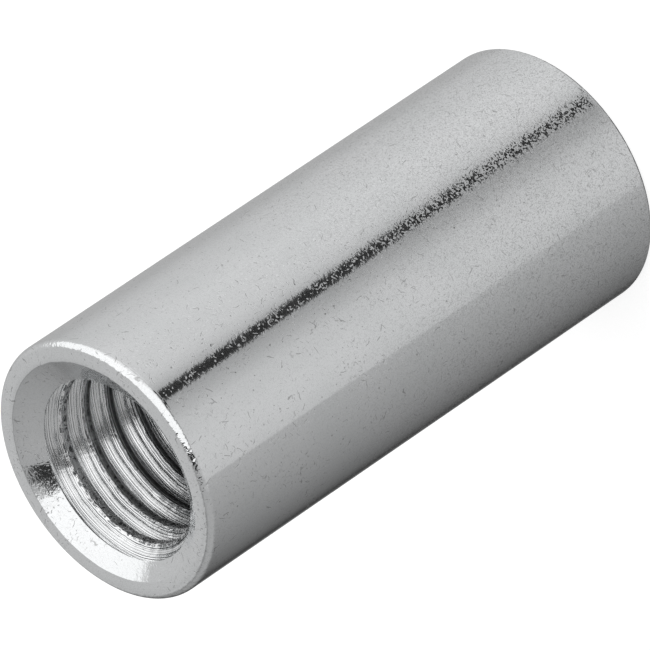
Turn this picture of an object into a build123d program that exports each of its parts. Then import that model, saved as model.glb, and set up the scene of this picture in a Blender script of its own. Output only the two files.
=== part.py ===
from build123d import *
from build123d.topology import SkipClean
import math
import os

# A round coupling nut: a plain turned sleeve of bright zinc-plated steel. One right-hand thread
# runs right through it, and each end has a wide countersink and a rounded outer edge. It joins
# two threaded rods end to end. It is one piece, so it is one solid.
# It stands on one end, with its axis on +Z and its origin at the centre of the face it stands on.
# All lengths are in millimetres, and all angles are in degrees.

# The rod that the thread takes, and the thread's form.
rod_d = 10.0
pitch = 1.5
flank_angle = 30.0

# The sleeve.
length = 30.0
wall = 1.5
edge_r = 0.4

# What the tap and the tapping drill cut away beyond the thread's basic form, on the diameter.
tap_allowance = 0.18
drill_allowance = 0.224

# How far the countersink's rim stands outside the rod, and the cone's full angle.
countersink_margin = 0.55
countersink_angle = 120.0

# The height of the groove's middle above the bottom face, on the +X side.
thread_phase = 0.32

# The cutting tools run on past what they cut by this much.
overrun = 0.12

# The thread's form is the basic one, a V cut off at both ends and grown outwards by the tap.
flank_slope = math.tan(math.radians(flank_angle))
v_height = pitch / 2 / flank_slope
root_r = (rod_d + tap_allowance) / 2
pitch_r = root_r - 3 / 8 * v_height
core_r = (rod_d + drill_allowance) / 2 - 5 / 8 * v_height

outer_r = rod_d / 2 + wall
rim_r = rod_d / 2 + countersink_margin
cone_slope = math.tan(math.radians(countersink_angle / 2))
countersink_depth = (rim_r - core_r) / cone_slope

quarter = 90
from_its_base = (Align.CENTER, Align.CENTER, Align.MIN)


def turned_bar():
    # The bar as it is parted off, with the edge of both ends rounded.
    bar = Cylinder(outer_r, length, align=from_its_base)
    rims = bar.edges().filter_by(GeomType.CIRCLE)
    return fillet(rims, edge_r)


def countersink():
    # The tool's cone, wide end down. It starts under the bottom face and ends inside the bore.
    wide_r = rim_r + overrun * cone_slope
    tip_r = core_r - overrun * cone_slope
    height = (wide_r - tip_r) / cone_slope
    return Pos(0, 0, -overrun) * Cone(wide_r, tip_r, height, align=from_its_base)


def groove_half(radius):
    # Half of the groove's width along the axis, at a radius. It is a quarter pitch at pitch_r.
    return pitch / 4 + (pitch_r - radius) * flank_slope


def groove():
    # What one tooth of the tap cuts in a quarter turn, with its middle at height zero on +X.
    inner_r = core_r - overrun
    corners = [
        (inner_r, -groove_half(inner_r)),
        (root_r, -groove_half(root_r)),
        (root_r, groove_half(root_r)),
        (inner_r, groove_half(inner_r)),
    ]
    profile = Plane.XZ * Polygon(*corners, align=None)
    path = Helix(pitch=pitch, height=pitch / 4, radius=core_r)
    return sweep(profile, path=path, is_frenet=True)


def screw_quarter():
    # A quarter of the screw-shaped hole: a quarter of the tapping drill with the tap's grooves
    # on it. The drill is longer than the tap, and both run past the two ends of the sleeve.
    to_x = Line((0, 0), (core_r, 0))
    arc = CenterArc((0, 0), core_r, 0, quarter)
    to_axis = Line((0, core_r), (0, 0))
    drill = Pos(0, 0, -2 * pitch) * extrude(make_face([to_x, arc, to_axis]), length + 5 * pitch)
    turns = math.ceil(length / pitch) + 2
    first = thread_phase - pitch
    return drill + [Pos(0, 0, first + turn * pitch) * groove() for turn in range(turns)]


def screw():
    # A thread turned by a quarter and raised by a quarter of its pitch falls on itself, so one
    # quarter serves for all four. It also keeps every face of the thread short, because a face
    # that winds twenty times round the axis is hard to measure and to mesh well.
    one = screw_quarter()
    return [Pos(0, 0, turn * pitch / 4) * Rot(0, 0, turn * quarter) * one for turn in range(4)]


def coupling_sleeve():
    lower = countersink()
    upper = Pos(0, 0, length) * Rot(180, 0, 0) * lower
    bar = turned_bar() - lower - upper
    # Tidying up after this cut would join the short faces again, so it is left off here.
    with SkipClean():
        return bar - screw()


os.makedirs("parts", exist_ok=True)
sleeve = coupling_sleeve()
export_step(sleeve, "parts/coupling_sleeve.step")
print("volume mm3", round(sleeve.volume, 2), "core radius", round(core_r, 4))
print("crest wall from", round(countersink_depth, 4), "to", round(length - countersink_depth, 4))
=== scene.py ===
# %% [markdown]
# # A round coupling nut in bright zinc
# The real thing is a short steel sleeve, turned from bar, threaded right through and zinc plated.
# It joins two threaded rods end to end. The imported CAD model is the frame: it says where the sleeve
# stands and how big it is. This lesson dresses it in a finer mesh and in a plated, handled, slightly
# torn finish, and lights it with the kind of studio that makes a mirror-like metal readable.
# Loading the frame comes first. Nothing may grow past it.

# %% Load the frame
import math

import bmesh
import bpy
from mathutils import Matrix, Quaternion, Vector, noise


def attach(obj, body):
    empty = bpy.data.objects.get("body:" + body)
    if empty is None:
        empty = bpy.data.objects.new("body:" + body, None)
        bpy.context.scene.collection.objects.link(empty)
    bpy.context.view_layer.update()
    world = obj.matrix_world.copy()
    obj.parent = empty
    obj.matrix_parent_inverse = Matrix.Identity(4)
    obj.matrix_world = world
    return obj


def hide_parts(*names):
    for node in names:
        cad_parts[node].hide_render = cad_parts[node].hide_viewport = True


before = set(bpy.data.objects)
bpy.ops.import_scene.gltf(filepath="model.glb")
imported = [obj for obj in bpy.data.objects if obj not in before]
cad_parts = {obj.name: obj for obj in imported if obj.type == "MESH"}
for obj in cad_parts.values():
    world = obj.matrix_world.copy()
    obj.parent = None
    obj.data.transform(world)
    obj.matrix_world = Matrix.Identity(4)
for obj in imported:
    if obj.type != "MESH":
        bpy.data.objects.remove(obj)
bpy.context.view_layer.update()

print("the frame's nodes:", sorted(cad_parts))

# %% [markdown]
# ## The sizes
# Blender works in metres, and the sleeve is only 30 mm long, so sizes are written in millimetres
# and turned into metres by one factor. The values are those of the solid: an M10 rod, a pitch of
# 1.5 mm and a wall that brings the outside to 13 mm. The thread's flanks lean by 30 degrees, and
# the countersinks open by 60 degrees to each side of the axis.

# %% Sizes of the sleeve
MM = 0.001
rod_r = 5.0 * MM
length = 30.0 * MM
outer_r = rod_r + 1.5 * MM
rim_r = rod_r + 0.55 * MM
edge_r = 0.4 * MM
cone_slope = math.tan(math.radians(60))

pitch = 1.5 * MM
core_r = 4.3 * MM
root_r = 5.09 * MM
crest_width = 0.4 * MM
thread_start = 0.32 * MM
flank_slope = math.tan(math.radians(30))
root_width = pitch - crest_width - 2 * (root_r - core_r) * flank_slope
print("flat at the groove's bottom, mm:", round(root_width / MM, 3))

# %% [markdown]
# ## The turned blank
# On the lathe the blank is one outline turned round an axis, so it is made that way here: a few
# points in the plane of the page, joined into a closed line and spun. The bore is left small, as
# the tap opens it later. A spin keeps every ring exactly round, which a mirror-like finish needs,
# because the eye sees the smallest flat in a reflection.

# %% Spin the blank
blank_bore = 3.9 * MM
cone_depth = (rim_r - blank_bore) / cone_slope
blank_steps = 256
same_place = 0.001 * MM

mesh = bmesh.new()
outline = [
    (outer_r, 0),
    (outer_r, length),
    (rim_r, length),
    (blank_bore, length - cone_depth),
    (blank_bore, cone_depth),
    (rim_r, 0),
]
corners = [mesh.verts.new((r, 0, z)) for r, z in outline]
edges = [mesh.edges.new((a, b)) for a, b in zip(corners, corners[1:] + corners[:1])]
bmesh.ops.spin(
    mesh, geom=corners + edges, cent=(0, 0, 0), axis=(0, 0, 1), dvec=(0, 0, 0),
    angle=math.tau, steps=blank_steps, use_merge=True, use_duplicate=False,
)
bmesh.ops.remove_doubles(mesh, verts=mesh.verts, dist=same_place)
bmesh.ops.recalc_face_normals(mesh, faces=mesh.faces)
print("blank:", len(mesh.verts), "points,", len(mesh.faces), "faces")

# %% [markdown]
# ## Rounded edges
# The tumbled edge of each end is rounded by 0.4 mm, and the sharp rim of the countersink is broken
# only a little. A bevel with several segments does both. The real rounding catches the brightest
# light in the studio, so it gets many segments.

# %% Round the rims
edge_segments = 10
rim_break = 0.035 * MM
rim_segments = 3


def from_axis(point):
    return math.hypot(point.x, point.y)


def rim_edges(mesh, radius):
    """The edges that lie on an end face, at a radius."""
    found = []
    for edge in mesh.edges:
        points = [v.co for v in edge.verts]
        on_end = any(all(abs(p.z - z) < same_place for p in points) for z in (0, length))
        if on_end and all(abs(from_axis(p) - radius) < same_place for p in points):
            found.append(edge)
    return found


def round_off(mesh, parts, radius, segments, affect="EDGES"):
    bmesh.ops.bevel(
        mesh, geom=parts, offset=radius, offset_type="OFFSET", segments=segments,
        profile=0.5, affect=affect, material=-1, clamp_overlap=True,
    )


round_off(mesh, rim_edges(mesh, outer_r), edge_r, edge_segments)
round_off(mesh, rim_edges(mesh, rim_r), rim_break, rim_segments)
print("after the bevels:", len(mesh.faces), "faces")

# %% [markdown]
# ## A rim that isn't quite round
# The countersinking tool leaves a rim that wanders by a few hundredths of a millimetre. A little
# noise on the rim's points makes its bright line break up as the real one does. The noise is a sum
# of layers, and three numbers say how fast they weaken, how much finer each is, and how many.

# %% Roughen the countersinks' rims
rim_reach = 0.06 * MM
rim_wander = 0.02 * MM
rim_waves_per_mm = 2.0
rim_layers = (0.8, 2.1, 3)


def push_out(point, distance):
    """Move a point away from the axis, or towards it where the distance is below zero."""
    growth = 1 + distance / from_axis(point)
    point.x *= growth
    point.y *= growth


moved = 0
for v in mesh.verts:
    if abs(from_axis(v.co) - rim_r) < rim_reach:
        push_out(v.co, rim_wander * noise.fractal(v.co / MM * rim_waves_per_mm, *rim_layers))
        moved += 1
print("points of the rims that were moved:", moved)

# %% [markdown]
# ## Rings that hold the wall flat
# Smooth shading blends the direction of neighbouring faces. One long face from end to end would
# carry the blend of the rounding along the whole wall, and its reflections would bend. A cut just
# inside each rounding keeps that blend short, and a few more cuts keep the long faces short.

# %% Cut the holding rings
guard = 0.05 * MM
wall_parts = 6
cuts = [edge_r + guard, length - edge_r - guard]
cuts += [length * part / wall_parts for part in range(1, wall_parts)]
for height in cuts:
    bmesh.ops.bisect_plane(
        mesh, geom=mesh.verts[:] + mesh.edges[:] + mesh.faces[:],
        plane_co=(0, 0, height), plane_no=(0, 0, 1), dist=0.1 * same_place,
    )
print("blank with its rings:", len(mesh.faces), "faces")

# %% [markdown]
# ## From a mesh to an object
# A cut by another object needs both as objects in the scene. The blank and the screw that will cut
# it share one list of materials, the plated outside first and the tapped thread second, so that
# every face keeps its own finish through the cut.

# %% Put the blank in the scene
zinc = bpy.data.materials.new("bright_zinc")
tapped = bpy.data.materials.new("tapped_thread")
tapped_number = 1


def in_scene(name, data):
    made = bpy.data.objects.new(name, data)
    bpy.context.scene.collection.objects.link(made)
    return made


def as_object(mesh, name, *materials):
    """Turn a finished bmesh into an object of the scene that has these materials."""
    data = bpy.data.meshes.new(name)
    mesh.to_mesh(data)
    mesh.free()
    for material in materials:
        data.materials.append(material)
    return in_scene(name, data)


blank = as_object(mesh, "blank", zinc, tapped)
print("blank's materials:", [material.name for material in blank.data.materials])

# %% [markdown]
# ## The outline of one tooth
# The hole is a screw: one pitch of the thread's outline carried round the axis and up by a pitch a
# turn. The outline has the metric form, with its two inner corners broken a little and its bottom
# rounded as the tap's worn teeth leave it.

# %% Draw one tooth
turns = 23
first = thread_start - 2 * pitch
half_root = root_width / 2
half_mouth = (pitch - crest_width) / 2
crest_wear = 0.03 * MM
root_wear = 0.08 * MM
wear_segments = 2

mesh = bmesh.new()
outline = [
    (core_r, -pitch / 2),
    (core_r, -half_mouth),
    (root_r, -half_root),
    (root_r, half_root),
    (core_r, half_mouth),
    (core_r, pitch / 2),
]
corners = [mesh.verts.new((r, 0, first + z)) for r, z in outline]
for a, b in zip(corners, corners[1:]):
    mesh.edges.new((a, b))
round_off(mesh, [corners[1], corners[4]], crest_wear, wear_segments, "VERTICES")
root_corners = [v for v in mesh.verts if v.co.x > root_r - same_place]
round_off(mesh, root_corners, root_wear, wear_segments, "VERTICES")
print("tooth:", len(mesh.verts), "points")

# %% [markdown]
# ## Points to tear with
# The flank that faces the near mouth and the crest below it are going to be torn, and a straight
# edge with a point at each end can't be. They are cut into shorter edges first. The other flank
# needs one cut only. More points would show nothing new, and each costs 4,600 faces over the screw.

# %% Cut the outline's long edges
long_edge = 0.3 * MM
near_flank_cuts = 3
near_crest_cuts = 2
far_flank_cuts = 1


def edges_between(mesh, low, high, shortest=0.0):
    """The outline's edges between two heights, counted from the middle of the groove."""
    found = [e for e in mesh.edges if all(low < v.co.z - first < high for v in e.verts)]
    return [e for e in found if e.calc_length() > shortest]


far_flank = edges_between(mesh, 0, half_mouth, long_edge)
near_flank = edges_between(mesh, -half_mouth, 0, long_edge)
near_crest = edges_between(mesh, -pitch, -half_mouth)
bmesh.ops.subdivide_edges(mesh, edges=far_flank, cuts=far_flank_cuts)
bmesh.ops.subdivide_edges(mesh, edges=near_flank, cuts=near_flank_cuts)
bmesh.ops.subdivide_edges(mesh, edges=near_crest, cuts=near_crest_cuts)
print("tooth with its cuts:", len(mesh.verts), "points")

# %% [markdown]
# ## The screw that the tap leaves
# A spin that also climbs carries the outline through one turn, and that turn is copied up the
# sleeve. After each turn the outline meets itself one pitch up, so merging the doubles joins all
# the turns into one skin. A screw modifier could do the same, but the next step moves the points
# one by one, so they have to be real ones.

# %% Spin the screw
steps_per_turn = 200
seam_gap = 0.0005 * MM

bmesh.ops.spin(
    mesh, geom=mesh.verts[:] + mesh.edges[:], cent=(0, 0, 0), axis=(0, 0, 1),
    dvec=(0, 0, pitch / steps_per_turn), angle=math.tau,
    steps=steps_per_turn, use_merge=False, use_duplicate=False,
)
one_turn = mesh.verts[:] + mesh.edges[:] + mesh.faces[:]
for turn in range(1, turns):
    copy = bmesh.ops.duplicate(mesh, geom=one_turn)["geom"]
    copied = [part for part in copy if isinstance(part, bmesh.types.BMVert)]
    bmesh.ops.translate(mesh, verts=copied, vec=(0, 0, turn * pitch))
bmesh.ops.remove_doubles(mesh, verts=mesh.verts, dist=seam_gap)
print("screw:", len(mesh.verts), "points,", len(mesh.faces), "faces")

# %% [markdown]
# ## Torn crests
# A tap doesn't leave a clean crest: metal is pushed up along its upper edge and folds over in
# small tongues, worst on the first turns. Those tongues are the ragged white edge of each dark
# band in the bore. They are made by shifting the points near that edge with a noise, along the
# axis and towards it. The shift dies out over the flank, so nothing folds through itself. Its size
# is in millimetres: a part that is there deep in the bore, and a part that the mouth adds.

# %% Tear the crests
torn_above = 0.25 * MM
torn_below = 0.19 * MM
clean_height = 8 * MM
worst_depth = 2.2 * MM
shift_deep, shift_at_mouth = 0.025, 0.06
shift_least, shift_gain = -0.8, 1.4
shift_waves_per_mm = 3.2
shift_layers = (0.6, 2.2, 4)
fold_deep, fold_at_mouth = 0.01, 0.06
fold_least = -0.2
fold_waves_per_mm = 5.0
fold_seed = Vector((7, 3, 1))


def across_tooth(point):
    """How far a point is above the lower end of its own tooth, from 0 to one pitch."""
    angle = math.atan2(point.y, point.x)
    turn = (point.z - thread_start + pitch / 2) / pitch - angle / math.tau
    return (turn - math.floor(turn)) * pitch


def tear(mesh, top):
    """Push the points near a crest's upper edge about, most of all on the turns next to the top."""
    moved = 0
    for v in mesh.verts:
        past_edge = (across_tooth(v.co) + pitch / 2) % pitch - (pitch - half_mouth)
        if v.co.z < clean_height or not -torn_below < past_edge < torn_above:
            continue
        hold = 1 - abs(past_edge) / torn_above
        near_top = math.exp(-max(0.0, top - v.co.z) / worst_depth)
        place = v.co / MM
        ragged = noise.fractal(place * shift_waves_per_mm, *shift_layers)
        shift = hold * (shift_deep + shift_at_mouth * near_top) * MM
        v.co.z += shift * max(shift_least, shift_gain * ragged)
        folded = noise.noise(place * fold_waves_per_mm + fold_seed)
        fold = hold * (fold_deep + fold_at_mouth * near_top) * MM
        push_out(v.co, -fold * max(fold_least, folded))
        moved += 1
    return moved


print("points of the crests that were moved:", tear(mesh, length))

# %% [markdown]
# ## Closing the screw
# A boolean cut needs a closed tool. The open mouths of the screw lie well outside the sleeve, so
# how they are closed never shows. The plainest lid that can't cross itself is a fan: the mouth's
# edges are drawn in to one point on the axis, at the middle height of the turn that it closes.

# %% Close the screw's ends


def close_mouth(mesh, edges, height):
    drawn = bmesh.ops.extrude_edge_only(mesh, edges=edges)["geom"]
    tips = [part for part in drawn if isinstance(part, bmesh.types.BMVert)]
    bmesh.ops.pointmerge(mesh, verts=tips, merge_co=(0, 0, height))


def open_edges(mesh):
    return [e for e in mesh.edges if len(e.link_faces) != 2]


mouths = open_edges(mesh)
lower_mouth = [e for e in mouths if e.verts[0].co.z < length / 2]
upper_mouth = [e for e in mouths if e.verts[0].co.z > length / 2]
close_mouth(mesh, lower_mouth, first)
close_mouth(mesh, upper_mouth, first + turns * pitch)
bmesh.ops.recalc_face_normals(mesh, faces=mesh.faces)
for face in mesh.faces:
    face.material_index = tapped_number
print("open edges of the screw:", len(open_edges(mesh)))
screw = as_object(mesh, "screw", zinc, tapped)

# %% [markdown]
# ## Cutting the thread
# The screw is cut out of the blank with a boolean modifier, as the tap cuts the real one. Where the
# thread runs out through each countersink, this gives the thin curved lip of the first turn. The
# manifold solver is the quick one, and all it asks is that both meshes are closed.

# %% Cut the thread
cut = blank.modifiers.new("tap", "BOOLEAN")
cut.operation = "DIFFERENCE"
cut.solver = "MANIFOLD"
cut.object = screw
depsgraph = bpy.context.evaluated_depsgraph_get()
sleeve_mesh = bpy.data.meshes.new_from_object(blank.evaluated_get(depsgraph))
sleeve_mesh.name = "finished_sleeve"
sleeve = in_scene("finished_sleeve", sleeve_mesh)
bpy.data.objects.remove(blank)
bpy.data.objects.remove(screw)
print("sleeve:", len(sleeve_mesh.polygons), "faces")

# %% [markdown]
# ## Smooth faces and crisp edges
# A plated wall mirrors the room in one sweep, so its faces are shaded smooth. The edges that a tool
# leaves, such as those of the crests, have to stay crisp. They could be marked by hand, but the
# angle between two faces finds them all: an edge is left sharp where its faces meet at 32 degrees
# or more.

# %% Smooth the faces and keep the real edges
sharp_from = math.radians(32)

mesh = bmesh.new()
mesh.from_mesh(sleeve_mesh)
bmesh.ops.remove_doubles(mesh, verts=mesh.verts, dist=seam_gap)
bmesh.ops.recalc_face_normals(mesh, faces=mesh.faces)
for face in mesh.faces:
    face.smooth = True
for edge in mesh.edges:
    edge.smooth = len(edge.link_faces) != 2 or edge.calc_face_angle(0) < sharp_from
loose = len(open_edges(mesh))
mesh.to_mesh(sleeve_mesh)
mesh.free()
triangles = sum(len(p.vertices) - 2 for p in sleeve_mesh.polygons)
print("triangles:", triangles, "edges without two faces:", loose)

# %% [markdown]
# ## Small helpers for shader nodes
# A finish is a long chain of small sums, and each sum is a node. Wired by hand they fill a screen,
# so here they are calls that read like the sums they stand for. One helper makes a node and fills
# its inputs, with numbers or with what another node gives, and the others do sums with it.

# %% Helpers for sums


def plug(tree, socket, value):
    if isinstance(value, bpy.types.NodeSocket):
        tree.links.new(value, socket)
    else:
        socket.default_value = value


def node(tree, kind, inputs, **settings):
    """A new node with its settings chosen and its inputs, by name or by number, filled."""
    made = tree.nodes.new(kind)
    for key, value in settings.items():
        setattr(made, key, value)
    for name, value in inputs.items():
        plug(tree, made.inputs[name], value)
    return made


def maths(tree, operation, *values):
    return node(tree, "ShaderNodeMath", dict(enumerate(values)), operation=operation).outputs[0]


def vectors(tree, operation, *values):
    made = node(tree, "ShaderNodeVectorMath", dict(enumerate(values)), operation=operation)
    return made.outputs["Value" if operation in ("DOT_PRODUCT", "LENGTH") else "Vector"]


def split(tree, vector):
    """The three numbers of a vector, under the names X, Y and Z."""
    return node(tree, "ShaderNodeSeparateXYZ", {0: vector}).outputs


def weighted(tree, *layers, start=0.0):
    """A start and each layer on top of it: a layer is a pattern and its weight."""
    total = start
    for pattern, weight in layers:
        total = maths(tree, "MULTIPLY_ADD", pattern, weight, total)
    return total


print("helpers for sums ready")

# %% [markdown]
# ## Steps and mixes
# A soft step says where something is: it goes from 0 at one value to 1 at another, without a hard
# line. A mix then puts one number or one colour there in place of another. The Mix node has inputs
# of its own for each kind of value, so they are filled by number.

# %% Helpers for steps and mixes


def soft_step(tree, value, low, high):
    inputs = {"Value": value, "From Min": low, "From Max": high}
    made = node(tree, "ShaderNodeMapRange", inputs, interpolation_type="SMOOTHSTEP")
    return made.outputs["Result"]


def both(tree, a, b):
    """As much as a and b together: full only where both are."""
    return maths(tree, "MULTIPLY", a, b)


def either(tree, a, b):
    return maths(tree, "MAXIMUM", a, b)


def blend(tree, factor, a, b):
    return node(tree, "ShaderNodeMix", {0: factor, 2: a, 3: b}, data_type="FLOAT").outputs[0]


def tint(tree, factor, a, b):
    return node(tree, "ShaderNodeMix", {0: factor, 6: a, 7: b}, data_type="RGBA").outputs[2]


def level_line(tree, field, level, width):
    """A thin line wherever a pattern passes through one value."""
    off_level = maths(tree, "ABSOLUTE", maths(tree, "SUBTRACT", field, level))
    return soft_step(tree, off_level, width, 0.4 * width)


print("helpers for steps and mixes ready")

# %% [markdown]
# ## Bright zinc
# Zinc from a bright bath is a thin, cool light grey mirror. Seen close it isn't smooth: it has an
# orange-peel swell, a fine grain with a crackle of thin dark lines, stronger towards one end, small
# pits, and short curled and straight marks from tumbling against other sleeves. Each of these is a
# layer of noise at its own size, read in the sleeve's own coordinates, so that it stays on the
# metal when the view moves. The marks could be painted on a picture, but noise has no seam.

# %% Swell and grain


def shader_of(material):
    material.use_nodes = True
    return material.node_tree, material.node_tree.nodes["Principled BSDF"]


def whereabouts(tree):
    """A point's place, its distance from the axis, its height, and how far the nearer end is."""
    place = node(tree, "ShaderNodeTexCoord", {}).outputs["Object"]
    radius = vectors(tree, "LENGTH", vectors(tree, "MULTIPLY", place, (1, 1, 0)))
    height = split(tree, place)["Z"]
    from_end = maths(tree, "MINIMUM", height, maths(tree, "SUBTRACT", length, height))
    return place, radius, height, from_end


def cloud(tree, place, per_mm, detail=2.0, roughness=0.5, distortion=0.0):
    """Soft noise from 0 to 1, with so many waves to a millimetre."""
    return node(tree, "ShaderNodeTexNoise", {
        "Vector": place, "Scale": per_mm / MM, "Detail": detail,
        "Roughness": roughness, "Distortion": distortion,
    }).outputs["Fac"]


tree, shader = shader_of(zinc)
place, radius, height, from_end = whereabouts(tree)
at_edge = both(tree, soft_step(tree, from_end, edge_r, 0.5 * edge_r),
               soft_step(tree, radius, outer_r - edge_r, outer_r - 0.5 * edge_r))
in_cone = soft_step(tree, radius, rim_r + 0.05 * MM, rim_r - 0.05 * MM)
lower_part = soft_step(tree, height, 0.8 * length, 0.2 * length)

swell = cloud(tree, place, per_mm=3.0, detail=1.0)
grain = cloud(tree, place, per_mm=8.0, detail=1.0, roughness=0.6)
patches = soft_step(tree, cloud(tree, place, per_mm=0.25, detail=3.0), 0.35, 0.65)
grain_share = weighted(tree, (lower_part, 0.13), (patches, 0.05), (at_edge, 0.5), (in_cone, 0.5),
                       start=0.07)
dents = both(tree, cloud(tree, place, per_mm=3.5), at_edge)
print("swell and grain:", len(tree.nodes), "nodes")

# %% [markdown]
# ## Pits and marks
# A pit is a cell of a Voronoi pattern whose centre is near, kept in a few cells only. A tumbling
# mark is a short straight scratch: the thin slice of a cell that lies on a plane through its
# centre, turned by the cell's own random colour. The pattern's coordinates are bent a little
# first, so the scratches come out as small curved hairs. They could be thin meshes, but hundreds of
# hairs are lighter as a pattern.

# %% Pits and marks


def bent(tree, place, per_mm, reach):
    """The place, pushed about by a soft noise, so that straight patterns come out curved."""
    inputs = {"Vector": place, "Scale": per_mm / MM, "Detail": 1.0}
    push = node(tree, "ShaderNodeTexNoise", inputs).outputs["Color"]
    push = vectors(tree, "SUBTRACT", push, (0.5, 0.5, 0.5))
    push = vectors(tree, "MULTIPLY", push, (reach, reach, reach))
    return vectors(tree, "ADD", place, push)


def cells(tree, place, per_mm):
    """Space shared out among scattered centres, with a random colour for each."""
    inputs = {"Vector": place, "Scale": per_mm / MM}
    return node(tree, "ShaderNodeTexVoronoi", inputs, feature="F1").outputs


def some_cells(tree, found, share):
    """A lot drawn from each cell's colour: 1 in the cells that are kept, 0 in the rest."""
    red = split(tree, found["Color"])["X"]
    lot = maths(tree, "FRACT", maths(tree, "MULTIPLY", red, 17.0))
    return maths(tree, "LESS_THAN", lot, share)


def pits(tree, place, per_mm, size, share):
    found = cells(tree, place, per_mm)
    near = soft_step(tree, found["Distance"], size, size * 0.4)
    return both(tree, near, some_cells(tree, found, share))


def scratches(tree, place, per_mm, width, reach, share):
    """Straight hairs: their width is in metres, and their reach is a share of a cell."""
    found = cells(tree, place, per_mm)
    from_centre = vectors(tree, "SUBTRACT", place, found["Position"])
    turned = vectors(tree, "SUBTRACT", found["Color"], (0.5, 0.5, 0.5))
    off_plane = vectors(tree, "DOT_PRODUCT", from_centre, vectors(tree, "NORMALIZE", turned))
    near = soft_step(tree, found["Distance"], reach, reach * 0.6)
    hair = both(tree, level_line(tree, off_plane, 0.0, width), near)
    return both(tree, hair, some_cells(tree, found, share))


curved = bent(tree, place, per_mm=3.0, reach=0.22 * MM)
small_pits = pits(tree, place, per_mm=2.2, size=0.15, share=0.18)
fine_pits = pits(tree, place, per_mm=5.0, size=0.22, share=0.14)
long_marks = scratches(tree, curved, per_mm=1.5, width=0.020 * MM, reach=0.34, share=0.6)
short_marks = scratches(tree, curved, per_mm=2.6, width=0.020 * MM, reach=0.38, share=0.6)
fine_marks = scratches(tree, curved, per_mm=4.3, width=0.018 * MM, reach=0.42, share=0.5)
print("with pits and marks:", len(tree.nodes), "nodes")

# %% [markdown]
# ## Where the marks crowd
# Sleeves knock against each other here and there, not evenly. The short marks are kept in loose
# crowds, and a little fainter all over the lower part. The pits and the long marks may be anywhere.

# %% Crowds of marks
crowded = soft_step(tree, cloud(tree, place, per_mm=0.35), 0.42, 0.56)
crowded = either(tree, crowded, maths(tree, "MULTIPLY", lower_part, 0.7))
in_crowd = both(tree, either(tree, short_marks, fine_marks), crowded)
dark_marks = either(tree, small_pits, either(tree, fine_pits, long_marks))
all_marks = either(tree, dark_marks, in_crowd)
print("with crowds:", len(tree.nodes), "nodes")

# %% [markdown]
# ## Matt specks
# Between the pits the plating has matt specks a few hundredths of a millimetre wide, more of them
# towards one end. A matt speck mirrors a wide patch of the studio at once, so in a plain reflection
# it can't be told from the rest, but it shines out where the metal mirrors a thin dark line. The
# crowded marks are matt as well.

# %% Matt specks
speck_share = weighted(tree, (lower_part, 0.40), start=0.04)
specks = some_cells(tree, cells(tree, curved, per_mm=13.0), speck_share)
matt = either(tree, specks, in_crowd)
print("with matt specks:", len(tree.nodes), "nodes")

# %% [markdown]
# ## The layers of zinc
# Colour, roughness and small heights are what a Principled shader needs for a metal. The colour is
# a cloudy light grey, darker in the crackle and in the marks. The heights aren't cut into the mesh:
# a bump node turns the surface's direction instead, and that is all that a reflection shows.

# %% Put the layers of zinc together
clean_dark, clean_light = (0.79, 0.81, 0.815, 1), (0.885, 0.89, 0.90, 1)
crackle_grey = (0.30, 0.30, 0.30, 1)
mark_grey, deep_grey = (0.35, 0.35, 0.35, 1), (0.25, 0.25, 0.25, 1)
polished, hazy, matt_roughness = 0.03, 0.08, 0.27


def plated(tree, shader, colour, roughness, heights):
    """Metal with this colour and roughness, and with small heights in millimetres."""
    shader.inputs["Metallic"].default_value = 1.0
    plug(tree, shader.inputs["Base Color"], colour)
    plug(tree, shader.inputs["Roughness"], roughness)
    bump = node(tree, "ShaderNodeBump", {"Strength": 1.0, "Distance": MM, "Height": heights})
    plug(tree, shader.inputs["Normal"], bump.outputs["Normal"])


crackle = maths(tree, "ABSOLUTE", maths(tree, "SUBTRACT", grain, 0.5))
crackle = soft_step(tree, crackle, 0.045, 0.015)
crackle = both(tree, crackle, weighted(tree, (lower_part, 0.30), start=0.16))
colour = tint(tree, cloud(tree, place, per_mm=0.35, detail=3.0), clean_dark, clean_light)
colour = tint(tree, crackle, colour, crackle_grey)
colour = tint(tree, maths(tree, "MULTIPLY", all_marks, 0.46), colour, mark_grey)
colour = tint(tree, maths(tree, "MULTIPLY", dark_marks, 0.30), colour, deep_grey)
roughness = blend(tree, cloud(tree, place, per_mm=0.8), polished, hazy)
roughness = blend(tree, matt, roughness, matt_roughness)
heights = weighted(tree, (swell, 0.0010), (dents, 0.040), (both(tree, grain, grain_share), 0.0080),
                   (all_marks, -0.003))
plated(tree, shader, colour, roughness, heights)
print("zinc finish:", len(tree.nodes), "nodes")

# %% [markdown]
# ## The tapped thread: lines along the flanks
# The tap's teeth scrape lines along the flanks, each at its own distance from the axis. Across the
# flank they are saw teeth: the metal rises slowly away from the axis and drops at once, so each
# strip leans towards the axis. The shade in the crease at the foot of each drop is painted into the
# colour as a thin dark line. A pattern that is read along the radius alone draws such lines on every
# turn. Noise makes the strips uneven, lets them wander, and lets the fine ones fade and come back.
# Real ridges would need far more points.

# %% Scraped lines
coarse_per_mm, fine_per_mm = 6.5, 13.0
line_wander = 0.16 * MM


def cloud_along(tree, value, scale, detail=2.0):
    """Soft noise from 0 to 1 that is read along one number."""
    inputs = {"W": value, "Scale": scale, "Detail": detail}
    return node(tree, "ShaderNodeTexNoise", inputs, noise_dimensions="1D").outputs["Fac"]


def scraped(tree, radius, per_mm, uneven, seed):
    """Saw teeth along the radius: each rises slowly away from the axis and drops at once."""
    shift = cloud_along(tree, maths(tree, "ADD", radius, seed * MM), 0.6 * per_mm / MM)
    count = maths(tree, "MULTIPLY", radius, per_mm / MM)
    return maths(tree, "FRACT", weighted(tree, (shift, uneven), start=count))


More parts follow.
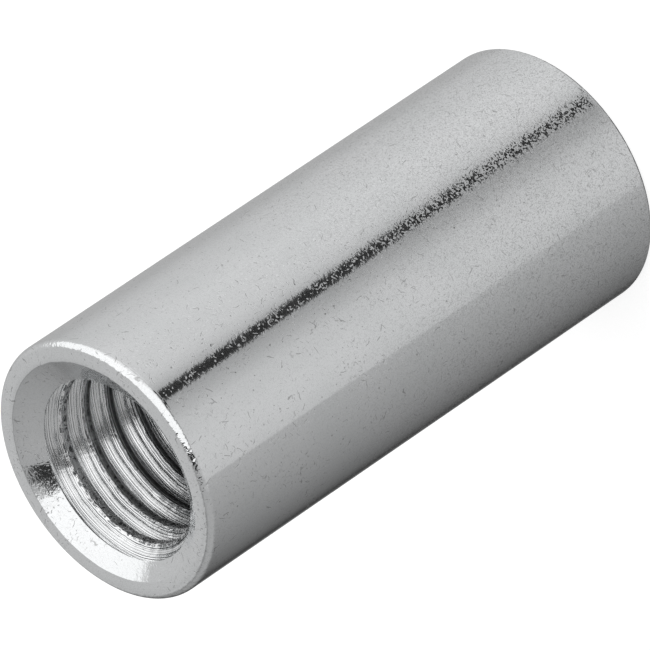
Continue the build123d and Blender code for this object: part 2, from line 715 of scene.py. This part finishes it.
tree, shader = shader_of(tapped)
place, radius, _, from_end = whereabouts(tree)
wandering = weighted(tree, (cloud(tree, place, per_mm=0.4), line_wander), start=radius)
coarse = scraped(tree, wandering, coarse_per_mm, uneven=2.5, seed=2.0)
fine = scraped(tree, wandering, fine_per_mm, uneven=2.0, seed=5.0)
fade = soft_step(tree, cloud(tree, place, per_mm=0.5), 0.35, 0.60)
# Painted shade: a thin dark line in the crease at the foot of each scraped step.
painted_line_mask = either(tree, soft_step(tree, coarse, 0.30, 0.12),
                   both(tree, soft_step(tree, fine, 0.32, 0.16), fade))
print("scraped lines:", len(tree.nodes), "nodes")

# %% [markdown]
# ## Crests, stripes and burrs
# The crests are what the drill and the tap left between the grooves: dull, with light stripes that
# follow the thread, pale blotches, and a ragged edge. The dark grey that lies under the stripes and
# blotches is painted shade of the bore. How far a point is across its own tooth stays the same all
# along the helix, so noise that is read from it draws the stripes. Near each mouth burrs curl over
# the crest's edge. A twisted noise has such curls where it passes its middle value.

# %% Crests and burrs
ragged_by = 0.045 * MM


def winding(tree, place):
    """How far a point is across its own tooth, as a share of the pitch."""
    parts = split(tree, place)
    angle = maths(tree, "ARCTAN2", parts["Y"], parts["X"])
    raised = maths(tree, "MULTIPLY_ADD", parts["Z"], 1 / pitch, -thread_start / pitch)
    return maths(tree, "FRACT", weighted(tree, (angle, -1 / math.tau), start=raised))


torn = cloud(tree, place, per_mm=7.0, roughness=0.6)
ragged = weighted(tree, (maths(tree, "SUBTRACT", torn, 0.5), ragged_by), start=radius)
on_crest = soft_step(tree, ragged, core_r + 0.030 * MM, core_r + 0.018 * MM)
at_crest = soft_step(tree, ragged, core_r + 0.12 * MM, core_r + 0.08 * MM)
near_mouth = soft_step(tree, from_end, 4.0 * MM, 2.5 * MM)

curls = level_line(tree, cloud(tree, place, per_mm=2.2, detail=1.0, distortion=1.2), 0.5, 0.13)
burrs = both(tree, curls, both(tree, near_mouth, at_crest))
blotches = both(tree, soft_step(tree, cloud(tree, place, per_mm=4.0), 0.50, 0.64),
                weighted(tree, (near_mouth, 0.75), start=0.15))
stripes = soft_step(tree, cloud_along(tree, winding(tree, place), 12.0, detail=1.0), 0.48, 0.56)
pale = either(tree, blotches, maths(tree, "MULTIPLY", stripes, 0.9))
print("with crests and burrs:", len(tree.nodes), "nodes")

# %% [markdown]
# ## The layers of the thread
# The flanks are bright, with the painted shade of the thin dark lines in them. The crests are
# rougher, and their dark grey is painted shade of the bore. The burrs lie over both and are as
# bright as freshly torn metal. The teeth stand on the flanks alone.

# %% Put the layers of the thread together
scraped_dark, scraped_light = (0.88, 0.895, 0.90, 1), (0.96, 0.965, 0.97, 1)
# The crests' dark grey is painted shade of the bore. The light grey is their paler stripes and
# blotches.
crest_painted_shade, crest_light = (0.20, 0.205, 0.21, 1), (0.78, 0.79, 0.80, 1)
# The grey of the flanks' thin lines is painted shade in the creases of the scraped steps.
painted_line_shade, burr_white = (0.10, 0.105, 0.11, 1), (0.95, 0.955, 0.96, 1)
flank_roughness, crest_roughness = 0.22, 0.40

flank = tint(tree, cloud(tree, place, per_mm=0.7, detail=1.0), scraped_dark, scraped_light)
# Painted shade: the thin lines at the foot of the scraped steps darken the flank's colour.
flank = tint(tree, maths(tree, "MULTIPLY", painted_line_mask, 0.85), flank, painted_line_shade)
# Painted shade: the crests take the dark grey of the bore's shade, lightened where the stripes and
# blotches are.
crest = tint(tree, pale, crest_painted_shade, crest_light)
colour = tint(tree, burrs, tint(tree, on_crest, flank, crest), burr_white)
roughness = blend(tree, on_crest, flank_roughness, crest_roughness)
on_flank = maths(tree, "SUBTRACT", 1.0, on_crest)
teeth = both(tree, weighted(tree, (coarse, 0.030), (fine, 0.006)), on_flank)
heights = weighted(tree, (torn, 0.005), (burrs, 0.012), start=teeth)
plated(tree, shader, colour, roughness, heights)
print("thread finish:", len(tree.nodes), "nodes")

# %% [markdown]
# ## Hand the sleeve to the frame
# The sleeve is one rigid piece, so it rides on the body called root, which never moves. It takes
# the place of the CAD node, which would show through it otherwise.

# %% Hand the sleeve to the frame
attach(sleeve, "root")
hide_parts("coupling_sleeve")
print("handed over:", sleeve.name)

# %% [markdown]
# ## The floor
# The sleeve stands on a wide pale floor. Part of its brightness is a glow that only the camera
# sees, so the floor reads as paper white while its dull part still takes the sleeve's soft shadow.
# The metal doesn't see the floor, and the floor holds back none of the studio's light: the sleeve
# mirrors the studio below the horizon too, as it would on a stand.

# %% The floor
floor_r = 0.9
floor_segments = 64
floor_grey = (0.5, 0.5, 0.5, 1)
camera_glow = 0.74

paint = bpy.data.materials.new("pale_floor")
tree, shader = shader_of(paint)
shader.inputs["Base Color"].default_value = floor_grey
shader.inputs["Roughness"].default_value = 1.0
seen = node(tree, "ShaderNodeLightPath", {}).outputs["Is Camera Ray"]
glow = node(tree, "ShaderNodeEmission", {"Strength": maths(tree, "MULTIPLY", seen, camera_glow)})
surface = node(tree, "ShaderNodeAddShader", {0: shader.outputs[0], 1: glow.outputs[0]})
plug(tree, tree.nodes["Material Output"].inputs["Surface"], surface.outputs[0])

mesh = bmesh.new()
bmesh.ops.create_circle(mesh, cap_ends=True, segments=floor_segments, radius=floor_r)
floor = as_object(mesh, "floor", paint)
floor.visible_glossy = False
floor.visible_shadow = False
print("floor:", len(floor.data.polygons), "face")

# %% [markdown]
# ## The studio
# A mirror shows its surroundings, so bright metal is lit by what stands round it: one big round
# softbox over the camera's left shoulder with a dark rim along one side, a pale wall, and a grey
# card on the right that falls off into the dark. The studio is the world itself, drawn by
# direction: each panel is a soft-edged patch of brightness at an azimuth and an elevation. Lamps
# could do the same, but a world can't be bumped into, and its panels have no distance to tune.

# %% Directions in the studio


def direction(azimuth, elevation):
    a, e = math.radians(azimuth), math.radians(elevation)
    return Vector((math.cos(e) * math.cos(a), math.cos(e) * math.sin(a), math.sin(e)))


def towards(tree, look, centre):
    """How much a look points towards a centre: 1 is straight at it, and 0 is square to it."""
    return vectors(tree, "DOT_PRODUCT", look, centre)


def degrees_from(tree, look, centre):
    angle = maths(tree, "ARCCOSINE", towards(tree, look, centre))
    return maths(tree, "MULTIPLY", angle, 180 / math.pi)


world = bpy.data.worlds.new("studio")
world.use_nodes = True
bpy.context.scene.world = world
tree = world.node_tree
look = node(tree, "ShaderNodeTexCoord", {}).outputs["Generated"]
parts = split(tree, look)
upward = parts["Z"]
turned = maths(tree, "ARCTAN2", parts["Y"], parts["X"])
round_share = weighted(tree, (turned, 1 / math.tau), start=0.5)
print("directions:", len(tree.nodes), "nodes")

# %% [markdown]
# ## The wall round the sleeve
# The wall is a ramp of greys all the way round, one for the lower half of the room and one for the
# upper half. Each stop is an azimuth in degrees and a brightness, where 1 is white, and was tuned
# by tone against what the sleeve mirrors in the photo. The two close stops at 150 degrees are the
# grey card's edge, the faint line along the lower side of the sleeve.

# %% The wall


def wall(tree, share, stops):
    """The brightness of the studio's wall at each azimuth, from -180 to 180 degrees."""
    ramp = node(tree, "ShaderNodeValToRGB", {"Fac": share})
    elements = ramp.color_ramp.elements
    elements.remove(elements[-1])
    for number, (azimuth, bright) in enumerate(stops):
        at = (azimuth + 180) / 360
        element = elements.new(at) if number else elements[0]
        element.position = at
        element.color = (bright, bright, bright, 1)
    return ramp.outputs["Color"]


low_stops = [
    (-180, 0.66), (-160, 0.61), (-145, 0.45), (-138, 0.38), (-127, 0.50), (-119, 0.62),
    (-112, 0.67), (-80, 0.72), (-40, 0.62), (-26, 0.545), (-14, 0.475), (14, 0.44), (22, 0.38),
    (30, 0.20), (38, 0.07), (44, 0.05), (50, 0.09), (58, 0.14), (90, 0.26),
    (149.5, 0.455), (150.5, 0.585), (165, 0.645), (180, 0.66),
]
high_stops = [
    (-180, 0.62), (-30, 0.62), (0, 0.57), (22, 0.56), (42, 0.27), (60, 0.36), (90, 0.42),
    (145, 0.44), (155, 0.50), (180, 0.62),
]
low_wall = wall(tree, round_share, low_stops)
high_wall = wall(tree, round_share, high_stops)
room = blend(tree, soft_step(tree, upward, -0.5, 0.3), low_wall, high_wall)
print("wall:", len(low_stops), "stops below and", len(high_stops), "above")

# %% [markdown]
# ## The softbox and its dark rim
# The softbox is a disc of directions round its centre, a little weaker below the horizon. Its rim
# is a narrow dark ring just outside it, on the far side only: it draws the thin black line down the
# sleeve. The ring is wider overhead, which the wall never mirrors and the near end does. A dark
# patch near the floor darkens the rounded edge of the far end.

# %% The softbox
box_centre = direction(-103, 32)
box_inner, box_outer = 60, 68
box_low, box_high = 0.95, 1.16
ring_at, ring_at_overhead = 73.4, -6.0
ring_inner, ring_outer, ring_wider_overhead = 1.5, 1.9, -5.6
ring_side = direction(167, 0)
patch_centre = direction(22, -68)
patch_inner, patch_outer = 18, 26
dark = 0.03

from_box = degrees_from(tree, look, box_centre)
softbox = soft_step(tree, from_box, box_outer, box_inner)
box_strength = blend(tree, soft_step(tree, upward, -0.30, 0.15), box_low, box_high)
bright = blend(tree, softbox, room, box_strength)

overhead = soft_step(tree, upward, 0.3, 0.9)
ring_middle = weighted(tree, (overhead, ring_at_overhead), start=ring_at)
off_middle = maths(tree, "ABSOLUTE", maths(tree, "SUBTRACT", from_box, ring_middle))
off_middle = weighted(tree, (overhead, ring_wider_overhead), start=off_middle)
ring = soft_step(tree, off_middle, ring_outer, ring_inner)
rim = both(tree, ring, soft_step(tree, towards(tree, look, ring_side), 0.04, 0.16))
patch = soft_step(tree, degrees_from(tree, look, patch_centre), patch_outer, patch_inner)
studio = blend(tree, either(tree, rim, patch), bright, dark)
print("softbox:", len(tree.nodes), "nodes")

# %% [markdown]
# ## What the camera sees
# The studio lights the sleeve and the floor, but it isn't shown to the camera itself: where no
# floor is in view, the camera sees plain white, as on the page of a catalogue.

# %% A white background
seen = node(tree, "ShaderNodeLightPath", {}).outputs["Is Camera Ray"]
background = tree.nodes["Background"]
background.inputs["Color"].default_value = (1, 1, 1, 1)
plug(tree, background.inputs["Strength"], blend(tree, seen, studio, 1.0))
print("studio:", len(tree.nodes), "nodes")

# %% [markdown]
# ## The camera
# The photo was taken from well away with a long lens, so the sleeve's sides run nearly parallel.
# The camera was fitted to the outline of both ends and to the crests. It looks at the middle of the
# sleeve from an azimuth and an elevation, and it is rolled on its side, because the sleeve lies
# slanting in the photo and stands upright here.

# %% The camera
camera_azimuth = -158.3125
camera_elevation = 36.1006
camera_roll = -124.0182
camera_distance = 560 * MM
camera_aim = Vector((-0.0693, 0.0472, 15.3571)) * MM

camera_data = bpy.data.cameras.new("camera")
camera = in_scene("camera", camera_data)
back = direction(camera_azimuth, camera_elevation)
roll = Quaternion((0, 0, 1), math.radians(camera_roll))
turn = (back.to_track_quat("Z", "Y") @ roll).to_matrix().to_4x4()
camera.matrix_world = Matrix.Translation(camera_aim + camera_distance * back) @ turn
camera_data.sensor_width = 36
camera_data.lens = 685.65
camera_data.clip_start = 0.01
camera_data.clip_end = 10
bpy.context.scene.camera = camera
bpy.context.scene.view_settings.view_transform = "Standard"
print("camera at, mm:", [round(x / MM, 2) for x in camera.matrix_world.translation])
